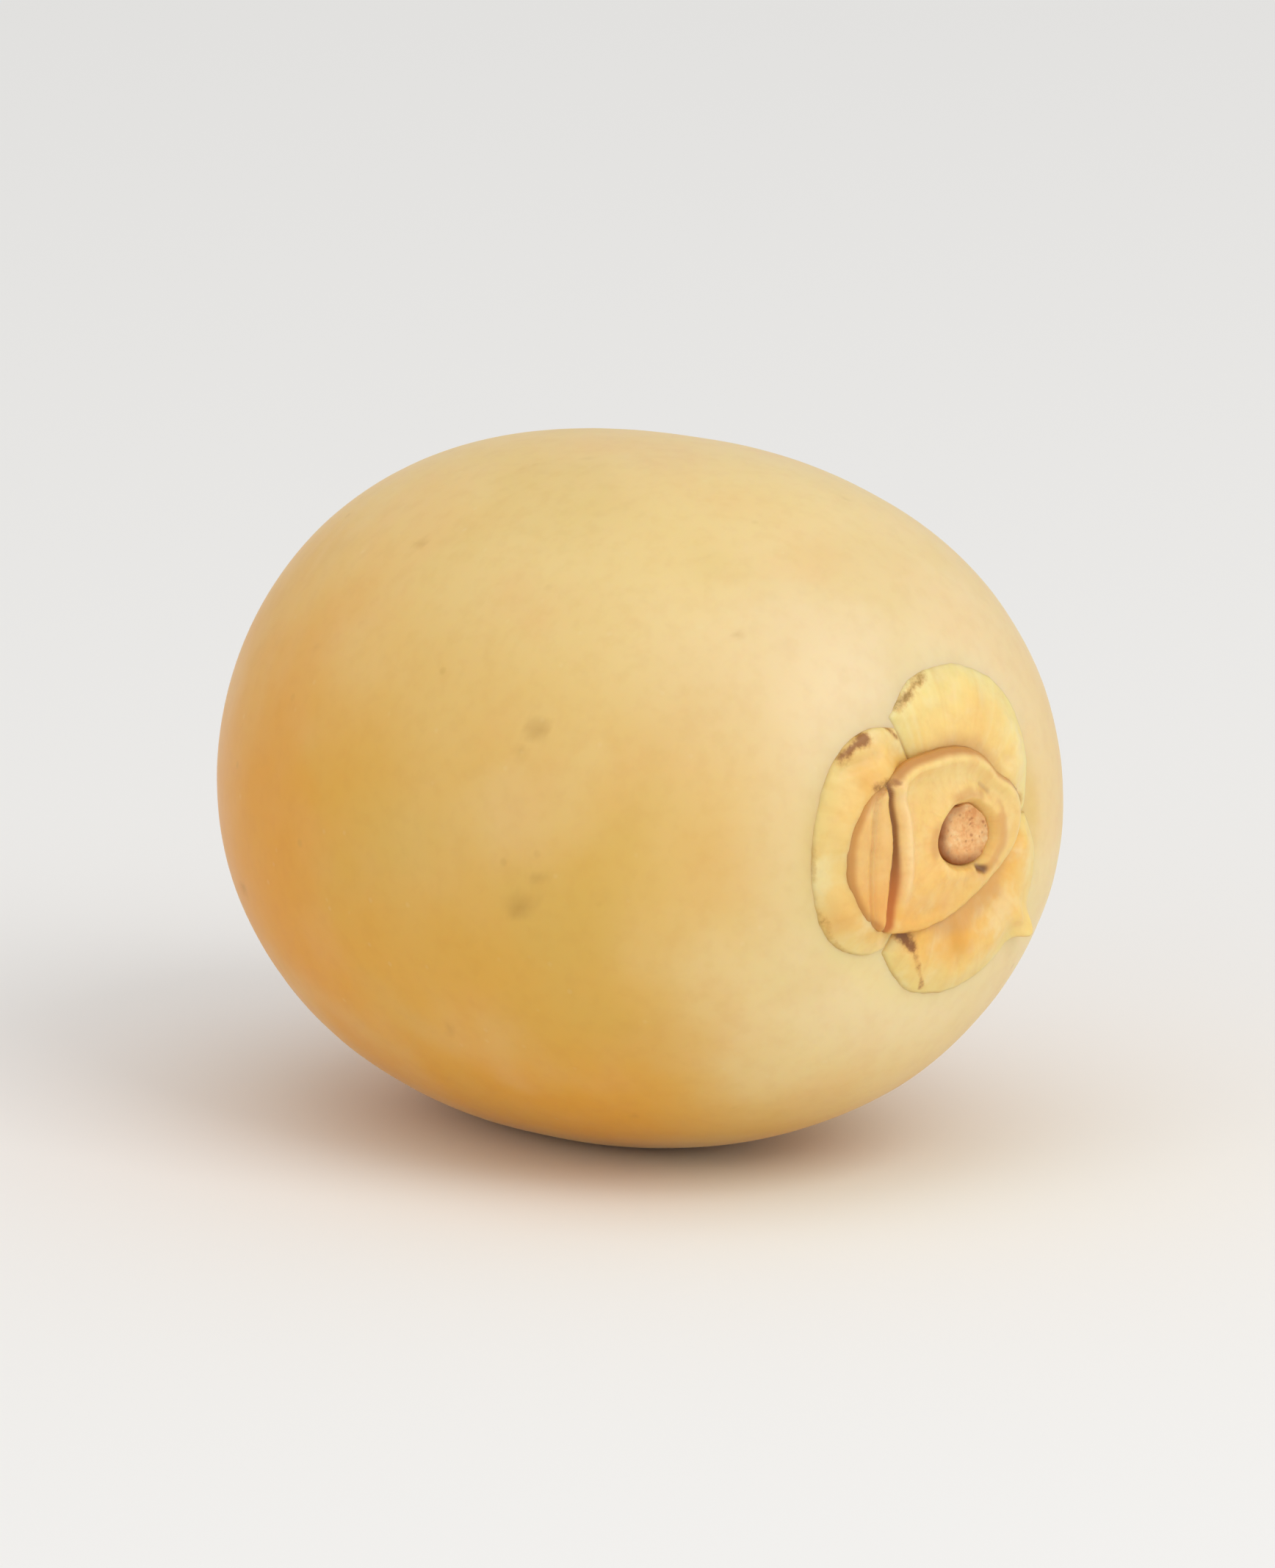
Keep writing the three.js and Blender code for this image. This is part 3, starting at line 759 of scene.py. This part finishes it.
# ------------------------------------------------------------------ materials
def skin_material():
    n = Nodes("date_skin")
    axial = n.attr("axial")
    under = n.attr("under")
    warp = n.noise(110, 3, 0.5, offset=0.013)
    warp_c = n.math("SUBTRACT", warp, 0.5)
    # golden belly and tip, cream towards the calyx and over the top: partly the skin's own tone, partly painted light,
    # with the top and calyx end painted paler as if lit and the underside and tip painted deeper gold as shade
    a = n.math("MULTIPLY_ADD", axial, 0.5, 0.5)
    a = n.math("ADD", a, n.math("MULTIPLY", warp_c, 0.22))
    gold = n.ramp(a, [
        (0.00, srgb(234, 152, 18)),
        (0.30, srgb(237, 163, 20)),
        (0.58, srgb(235, 182, 72)),
        (0.80, srgb(236, 191, 94)),
        (1.00, srgb(241, 207, 132)),
    ])
    cream = n.ramp(a, [
        (0.00, srgb(240, 190, 96)),
        (0.35, srgb(243, 209, 134)),
        (0.70, srgb(245, 217, 150)),
        (1.00, srgb(244, 221, 176)),
    ])
    broad = n.math("SUBTRACT", n.noise(48, 2, 0.5, offset=0.19), 0.5)
    drift = n.math("ADD", n.math("MULTIPLY", warp_c, 0.45), n.math("MULTIPLY", broad, 0.9))
    # painted light: cream laid over the top as if lit, gold left on the underside as painted shade
    painted_light_top = n.smooth(n.math("ADD", under, drift), -0.02, 0.66, 1.0, 0.0)
    base = n.mix(painted_light_top, gold, cream)
    # painted shade, partly the skin's own tone: the underside made deeper orange-gold, less so towards the calyx
    low = n.smooth(n.math("ADD", under, n.math("MULTIPLY", drift, 0.7)), 0.55, 1.0)
    low = n.math("MULTIPLY", low, n.smooth(a, 0.66, 0.90, 0.80, 0.0))
    base = n.mix(low, base, srgb(240, 169, 14))
    # painted light, partly the skin's own paler calyx end: the calyx end's underside painted pale cream as if lit
    calyx_end = n.smooth(n.math("ADD", axial, n.math("MULTIPLY", warp_c, 0.3)), 0.55, 0.95)
    base = n.mix(n.math("MULTIPLY", calyx_end, n.smooth(under, 0.40, 0.85, 0.0, 0.85)), base, srgb(252, 230, 172))
    ring = n.math("MULTIPLY", n.smooth(n.attr("rho"), 5.6, 6.6), n.smooth(n.attr("rho"), 9.4, 6.9))
    ring = n.math("MULTIPLY", ring, n.smooth(axial, 0.3, 0.8))
    base = n.mix(n.math("MULTIPLY", ring, 0.30), base, srgb(250, 230, 192))
    # soft patches: yellow-olive, peach and paler wax
    m1 = n.smooth(n.noise(150, 2, 0.5, offset=0.031), 0.48, 0.72)
    base = n.mix(n.math("MULTIPLY", m1, 0.22), base, srgb(222, 192, 96))
    m2 = n.smooth(n.noise(190, 2, 0.5, offset=0.057), 0.50, 0.74)
    base = n.mix(n.math("MULTIPLY", m2, 0.20), base, srgb(243, 186, 120))
    m3 = n.smooth(n.noise(140, 2, 0.5, offset=0.083), 0.50, 0.76)
    base = n.mix(n.math("MULTIPLY", m3, 0.22), base, srgb(246, 224, 168))
    # fine grain of the skin
    grain = n.noise(1500, 2, 0.5, offset=0.1)
    base = n.mix(n.smooth(grain, 0.40, 0.75, 0.0, 0.07), base, srgb(214, 164, 84), "MULTIPLY")
    v = n.voronoi(560, offset=0.02)
    dots = n.smooth(v.outputs["Distance"], 0.04, 0.13, 1.0, 0.0)
    some = n.smooth(n.noise(240, 2, 0.5, offset=0.21), 0.52, 0.66)
    base = n.mix(n.math("MULTIPLY", n.math("MULTIPLY", dots, some), 0.22), base, srgb(196, 148, 66))
    v2 = n.voronoi(760, offset=0.05)
    pale = n.smooth(v2.outputs["Distance"], 0.03, 0.12, 1.0, 0.0)
    base = n.mix(n.math("MULTIPLY", pale, 0.12), base, srgb(250, 232, 184))
    base = n.mix(1.0, base, (0.92, 0.908, 0.87), "MULTIPLY")
    # spots, the dried streak and the style scar
    spot = n.attr("spot")
    base = n.mix(n.math("MULTIPLY", spot, 0.70), base, srgb(172, 120, 42))
    halo = n.attr("tiphalo")
    base = n.mix(n.math("MULTIPLY", halo, 0.45), base, srgb(226, 158, 44))
    streak = n.math("MULTIPLY", n.attr("streak"), n.smooth(n.noise(1600, 3, 0.6, offset=0.3), 0.30, 0.55, 0.45, 1.0))
    base = n.mix(n.smooth(streak, 0.10, 0.8, 0.0, 0.85), base, srgb(176, 96, 30))
    scar = n.attr("tipscar")
    base = n.mix(n.smooth(scar, 0.25, 0.85), base, srgb(178, 112, 44))
    base = n.mix(n.smooth(scar, 0.80, 1.0), base, srgb(104, 58, 24))
    n.put(n.bsdf.inputs["Base Color"], base)
    rough = n.math("MULTIPLY_ADD", n.noise(420, 3, 0.6, offset=0.4), 0.16, 0.33)
    rough = n.math("ADD", rough, n.math("MULTIPLY", spot, 0.12))
    n.put(n.bsdf.inputs["Roughness"], rough)
    b1 = n.bump(n.noise(700, 2, 0.5, offset=0.5), 0.12, 0.00005)
    b2 = n.bump(n.noise(2600, 2, 0.5, offset=0.6), 0.08, 0.00002, b1)
    b3 = n.bump(v.outputs["Distance"], 0.05, 0.00003, b2)
    n.put(n.bsdf.inputs["Normal"], b3)
    n.bsdf.inputs["IOR"].default_value = 1.45
    n.bsdf.inputs["Specular IOR Level"].default_value = 0.4
    n.bsdf.inputs["Subsurface Weight"].default_value = 0.3
    n.bsdf.inputs["Subsurface Radius"].default_value = (1.0, 0.5, 0.12)
    n.bsdf.inputs["Subsurface Scale"].default_value = 0.0024
    n.bsdf.inputs["Coat Weight"].default_value = 0.08
    n.bsdf.inputs["Coat Roughness"].default_value = 0.3
    n.bsdf.inputs["Sheen Weight"].default_value = 0.24
    n.bsdf.inputs["Sheen Roughness"].default_value = 0.3
    n.bsdf.inputs["Sheen Tint"].default_value = (1.0, 0.84, 0.68, 1)
    return n.mat


def petal_material(name, body, inner, edge_col, dry):
    n = Nodes(name)
    e = n.attr("edge")
    inward = n.attr("inward")
    w = n.math("SUBTRACT", n.noise(700, 3, 0.6, offset=0.02), 0.5)
    base = n.mix(n.smooth(n.math("ADD", inward, n.math("MULTIPLY", w, 0.5)), 0.12, 0.55), body, inner)
    mott = n.smooth(n.noise(620, 3, 0.55, offset=0.07), 0.48, 0.72)
    base = n.mix(n.math("MULTIPLY", mott, 0.45), base, srgb(252, 230, 178))
    mott2 = n.smooth(n.noise(520, 3, 0.55, offset=0.17), 0.52, 0.75)
    base = n.mix(n.math("MULTIPLY", mott2, 0.35), base, srgb(246, 202, 106))
    mott3 = n.smooth(n.noise(700, 3, 0.55, offset=0.27), 0.55, 0.75)
    base = n.mix(n.math("MULTIPLY", mott3, 0.30), base, srgb(250, 206, 156))
    fib = n.noise(1500, 3, 0.6, offset=0.11)
    base = n.mix(n.smooth(fib, 0.4, 0.75, 0.0, 0.12), base, srgb(205, 160, 96), "MULTIPLY")
    base = n.mix(n.smooth(n.attr("fibre"), 0.5, 1.1, 0.0, 0.32), base, srgb(232, 176, 92))
    base = n.mix(n.smooth(n.attr("fibre"), 0.4, -0.2, 0.0, 0.28), base, srgb(253, 232, 176))
    base = n.mix(n.math("MULTIPLY", n.attr("warm"), 0.7), base, srgb(232, 166, 62))
    # thin brown line where the margin meets the skin: partly the dry margin's own brown, partly painted crevice shade
    line = n.smooth(n.math("ADD", e, n.math("MULTIPLY", w, 0.12)), 0.0, 0.2, 1.0, 0.0)
    broken = n.smooth(n.noise(380, 3, 0.6, offset=0.23), 0.40, 0.62, 0.12, 0.75)
    base = n.mix(n.math("MULTIPLY", line, broken), base, edge_col)
    # shaded strip just under the cup
    under_cup = n.smooth(n.math("ADD", inward, n.math("MULTIPLY", w, 0.2)), 0.50, 0.68)
    base = n.mix(n.math("MULTIPLY", under_cup, 0.55), base, srgb(205, 150, 88))
    breakup = n.math("MULTIPLY", n.math("SUBTRACT", n.noise(3200, 3, 0.65, offset=0.29), 0.5), 1.3)
    mark = n.attr("mark")
    mark = n.math("ADD", mark, n.math("MULTIPLY", breakup, n.smooth(mark, 0.0, 0.25)))
    base = n.mix(n.smooth(mark, 0.08, 0.55, 0.0, 0.45), base, srgb(206, 146, 60))
    base = n.mix(n.smooth(mark, 0.40, 0.95, 0.0, 0.9), base, dry)
    n.put(n.bsdf.inputs["Base Color"], base)
    n.put(n.bsdf.inputs["Roughness"], n.math("MULTIPLY_ADD", n.noise(900, 2, 0.5, offset=0.3), 0.18, 0.36))
    b1 = n.bump(n.noise(1800, 3, 0.6, offset=0.37), 0.18, 0.00005)
    b2 = n.bump(n.noise(6000, 2, 0.6, offset=0.41), 0.12, 0.00002, b1)
    n.put(n.bsdf.inputs["Normal"], b2)
    n.bsdf.inputs["Subsurface Weight"].default_value = 0.4
    n.bsdf.inputs["Subsurface Radius"].default_value = (1.0, 0.55, 0.25)
    n.bsdf.inputs["Subsurface Scale"].default_value = 0.0010
    n.bsdf.inputs["Coat Weight"].default_value = 0.12
    n.bsdf.inputs["Coat Roughness"].default_value = 0.3
    return n.mat


def cup_material():
    n = Nodes("date_calyx")
    e = n.attr("edge")
    w = n.math("SUBTRACT", n.noise(620, 3, 0.6, offset=0.02), 0.5)
    # cream above, orange towards the folded near side and below
    g = n.math("ADD", n.math("MULTIPLY", n.attr("cy"), -0.05), n.math("MULTIPLY", n.attr("cz"), -0.12))
    g = n.math("ADD", n.math("ADD", g, 0.45), n.math("MULTIPLY", w, 0.5))
    base = n.ramp(g, [
        (0.0, srgb(243, 208, 132)),
        (0.45, srgb(245, 202, 118)),
        (1.0, srgb(247, 186, 90)),
    ])
    mott = n.smooth(n.noise(800, 3, 0.55, offset=0.07), 0.48, 0.72)
    base = n.mix(n.math("MULTIPLY", mott, 0.3), base, srgb(250, 222, 160))
    mott2 = n.smooth(n.noise(700, 3, 0.55, offset=0.37), 0.54, 0.75)
    base = n.mix(n.math("MULTIPLY", mott2, 0.3), base, srgb(247, 194, 136))
    lip = n.attr("lip")
    base = n.mix(n.math("MULTIPLY", lip, 0.55), base, srgb(236, 184, 112))
    lip_low = n.math("MULTIPLY", lip, n.smooth(n.attr("cz"), -0.4, -2.4))
    base = n.mix(n.math("MULTIPLY", lip_low, 0.6), base, srgb(244, 170, 76))
    # painted highlight: the ridge beside the crease painted paler peach
    base = n.mix(n.math("MULTIPLY", n.attr("ridge"), 0.6), base, srgb(252, 214, 160))
    fib = n.noise(2200, 3, 0.6, offset=0.11)
    base = n.mix(n.smooth(fib, 0.4, 0.75, 0.0, 0.12), base, srgb(204, 150, 90), "MULTIPLY")
    base = n.mix(n.smooth(n.attr("fibre"), 0.5, 1.1, 0.0, 0.30), base, srgb(228, 166, 92))
    base = n.mix(n.smooth(n.attr("fibre"), 0.4, -0.2, 0.0, 0.25), base, srgb(252, 222, 160))
    # brown band along the margin, partly the dried margin's own brown and partly painted crevice shade where the cup
    # meets the petals: broad and brown above, orange-brown along the lip, faint below
    upper = n.attr("upper")
    wide = n.math("MULTIPLY_ADD", n.math("MAXIMUM", upper, lip), 0.20, 0.16)
    rim = n.smooth(n.math("DIVIDE", n.math("ADD", e, n.math("MULTIPLY", w, 0.14)), wide), 0.35, 1.0, 1.0, 0.0)
    strong = n.math("MAXIMUM", n.math("MULTIPLY", upper, 0.95), n.math("MULTIPLY", lip, 0.8))
    strong = n.math("MAXIMUM", strong, n.smooth(n.noise(420, 2, 0.5, offset=0.2), 0.38, 0.62, 0.15, 0.6))
    rim_col = n.mix(lip, srgb(196, 138, 68), srgb(204, 138, 62))
    base = n.mix(n.math("MULTIPLY", rim, strong), base, rim_col)
    # the crease, its fine side groove and the nick darkened: partly their own brown, partly painted shade in the groove
    crease = n.attr("crease")
    crease_col = n.mix(n.smooth(n.attr("cz"), 0.5, -2.2), srgb(150, 92, 44), srgb(206, 118, 40))
    base = n.mix(n.smooth(crease, 0.12, 0.8, 0.0, 0.9), base, crease_col)
    collar = n.attr("collar")
    base = n.mix(n.math("MULTIPLY", n.smooth(collar, 0.3, 1.0, 0.0, 0.6), n.smooth(n.noise(600, 2, 0.5, offset=0.27), 0.45, 0.62)), base, srgb(206, 146, 78))
    # painted shade: the small hole darkened
    pit = n.attr("pit")
    base = n.mix(n.smooth(pit, 0.15, 1.0, 0.0, 0.9), base, srgb(124, 78, 40))
    mark = n.attr("mark")
    breakup = n.math("MULTIPLY", n.math("SUBTRACT", n.noise(3200, 3, 0.65, offset=0.29), 0.5), 1.3)
    mark = n.math("ADD", mark, n.math("MULTIPLY", breakup, n.smooth(mark, 0.0, 0.25)))
    base = n.mix(n.smooth(mark, 0.15, 0.9, 0.0, 0.75), base, srgb(158, 104, 50))
    n.put(n.bsdf.inputs["Base Color"], base)
    n.put(n.bsdf.inputs["Roughness"], n.math("MULTIPLY_ADD", n.noise(900, 2, 0.5, offset=0.3), 0.18, 0.34))
    b1 = n.bump(n.noise(1600, 3, 0.6, offset=0.37), 0.18, 0.00005)
    b2 = n.bump(n.noise(6000, 2, 0.6, offset=0.41), 0.12, 0.00002, b1)
    n.put(n.bsdf.inputs["Normal"], b2)
    n.bsdf.inputs["Subsurface Weight"].default_value = 0.4
    n.bsdf.inputs["Subsurface Radius"].default_value = (1.0, 0.5, 0.2)
    n.bsdf.inputs["Subsurface Scale"].default_value = 0.0010
    n.bsdf.inputs["Coat Weight"].default_value = 0.12
    n.bsdf.inputs["Coat Roughness"].default_value = 0.3
    return n.mat


def stub_material():
    n = Nodes("date_strand")
    e = n.attr("edge")
    w = n.noise(1800, 3, 0.65, offset=0.02)
    base = n.ramp(w, [(0.32, srgb(248, 208, 150)), (0.50, srgb(240, 186, 124)), (0.68, srgb(222, 156, 94))])
    tan = n.smooth(n.noise(1100, 2, 0.5, offset=0.44), 0.48, 0.66)
    base = n.mix(n.math("MULTIPLY", tan, 0.5), base, srgb(226, 160, 90))
    # the rim darkened, more on one side: partly browned tissue, partly painted shade
    rim = n.smooth(n.math("ADD", e, n.math("MULTIPLY", n.math("SUBTRACT", w, 0.5), 0.3)), 0.02, 0.50, 1.0, 0.0)
    rim = n.math("MULTIPLY", rim, n.math("MULTIPLY_ADD", n.attr("dark"), 0.75, 0.2, clamp=True))
    base = n.mix(rim, base, srgb(146, 88, 42))
    v = n.voronoi(4200, offset=0.3)
    holes = n.smooth(v.outputs["Distance"], 0.1, 0.4, 1.0, 0.0)
    holes = n.math("MULTIPLY", holes, n.smooth(n.noise(1700, 2, 0.5, offset=0.5), 0.45, 0.62))
    base = n.mix(n.math("MULTIPLY", holes, 0.6), base, srgb(160, 98, 52))
    n.put(n.bsdf.inputs["Base Color"], base)
    n.put(n.bsdf.inputs["Roughness"], n.math("MULTIPLY_ADD", w, 0.2, 0.6))
    n.put(n.bsdf.inputs["Normal"], n.bump(n.noise(5000, 3, 0.7, offset=0.2), 0.6, 0.00005))
    n.bsdf.inputs["Subsurface Weight"].default_value = 0.15
    n.bsdf.inputs["Subsurface Radius"].default_value = (1.0, 0.5, 0.25)
    n.bsdf.inputs["Subsurface Scale"].default_value = 0.0008
    return n.mat


# ------------------------------------------------------------------ build
def add(ob, material, node):
    ob.data.materials.append(material)
    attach(ob, "root")
    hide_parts(node)
    return ob


add(build_fruit(), skin_material(), "fruit")
add(build_petal("date_petal_near", PETALS["petal_near"], 1, lift_at=[(0.07, 0.07, 0.10)],
                height=0.60, extend=(4.0, 0.0), over=-0.02, rnd=1.5),
    petal_material("date_petal_near", srgb(249, 208, 130), srgb(250, 194, 98), srgb(210, 162, 84), srgb(146, 88, 8)),
    "petal_near")
add(build_petal("date_petal_upper", PETALS["petal_upper"], 2, lift_at=[(0.9, 0.1, 0.06)],
                height=0.52, extend=(3.0, 6.0), over=-0.05, rnd=1.6),
    petal_material("date_petal_upper", srgb(251, 218, 140), srgb(250, 208, 124), srgb(214, 170, 92), srgb(150, 112, 30)),
    "petal_upper")
add(build_petal("date_petal_far", PETALS["petal_far"], 3,
                height=0.56, flap=(0.71, 0.022, 0.55, 0.55), extend=(2.0, 3.0), over=-0.03, rnd=1.5),
    petal_material("date_petal_far", srgb(250, 211, 130), srgb(248, 190, 92), srgb(208, 156, 80), srgb(132, 74, 10)),
    "petal_far")
add(build_cup(), cup_material(), "calyx_cup")
add(build_stub(), stub_material(), "strand_stub")

# ------------------------------------------------------------------ floor, light, camera
def floor_material(name, near, far, rough):
    n = Nodes(name)
    length = n.t.nodes.new("ShaderNodeVectorMath")
    length.operation = "LENGTH"
    n.link(n.coord, length.inputs[0])
    base = n.mix(n.smooth(length.outputs["Value"], 0.10, 1.4), near, far)
    n.put(n.bsdf.inputs["Base Color"], base)
    n.bsdf.inputs["Roughness"].default_value = rough
    n.bsdf.inputs["Specular IOR Level"].default_value = 0.0
    return n.mat


size = 30.0
me = bpy.data.meshes.new("floor")
me.from_pydata([(-size, -size, 0), (size, -size, 0), (size, size, 0), (-size, size, 0)], [], [(0, 1, 2, 3)])
floor = bpy.data.objects.new("floor", me)
bpy.context.scene.collection.objects.link(floor)
floor.data.materials.append(floor_material("pale_floor", (0.90, 0.897, 0.89), (0.995, 0.995, 0.995), 0.6))

lo, hi = cad_box
target = Vector([(lo[i] + hi[i]) / 2 for i in range(3)])


def direction(az, el):
    a, e = math.radians(az), math.radians(el)
    return Vector((math.sin(a) * math.cos(e), -math.cos(a) * math.cos(e), math.sin(e)))


def look(ob, where, at):
    ob.location = where
    ob.rotation_euler = (at - where).to_track_quat("-Z", "Y").to_euler()


def softbox(name, az, el, dist, width, height, power, color=(1, 1, 1)):
    l = bpy.data.lights.new(name, "AREA")
    l.shape = "RECTANGLE"
    l.size = width
    l.size_y = height
    l.energy = power
    l.color = color
    ob = bpy.data.objects.new(name, l)
    bpy.context.scene.collection.objects.link(ob)
    look(ob, target + direction(az, el) * dist, target)
    return ob


CAM_AZ, CAM_EL = 47.0, 14.0
softbox("key", CAM_AZ + 44, 44, 0.60, 0.32, 0.32, 0.93, (1.0, 0.985, 0.96))
softbox("top", CAM_AZ - 14, 76, 0.60, 0.44, 0.44, 0.44, (1.0, 0.99, 0.975))
softbox("low", CAM_AZ + 70, 8, 0.70, 0.36, 0.36, 0.52, (1.0, 0.985, 0.965))
softbox("fill", CAM_AZ - 50, 14, 0.70, 0.40, 0.40, 0.34, (1.0, 0.985, 0.965))

world = bpy.data.worlds.new("studio")
bpy.context.scene.world = world
world.use_nodes = True
bg = world.node_tree.nodes["Background"]
bg.inputs[0].default_value = (1.0, 0.995, 0.985, 1)
bg.inputs[1].default_value = 0.66

cam = bpy.data.cameras.new("camera")
cam.lens = 500
cam.sensor_width = 36
cam.clip_start = 0.01
cam.clip_end = 20
camera = bpy.data.objects.new("camera", cam)
bpy.context.scene.collection.objects.link(camera)
# the fruit fills about 70% of the picture's width
dist = 500 * 0.0345 / (0.70 * 36 * 1736 / 2135)
look(camera, target + direction(CAM_AZ, CAM_EL) * dist, target)
bpy.context.scene.camera = camera

bpy.context.scene.view_settings.view_transform = "Standard"
bpy.context.scene.view_settings.look = "None"
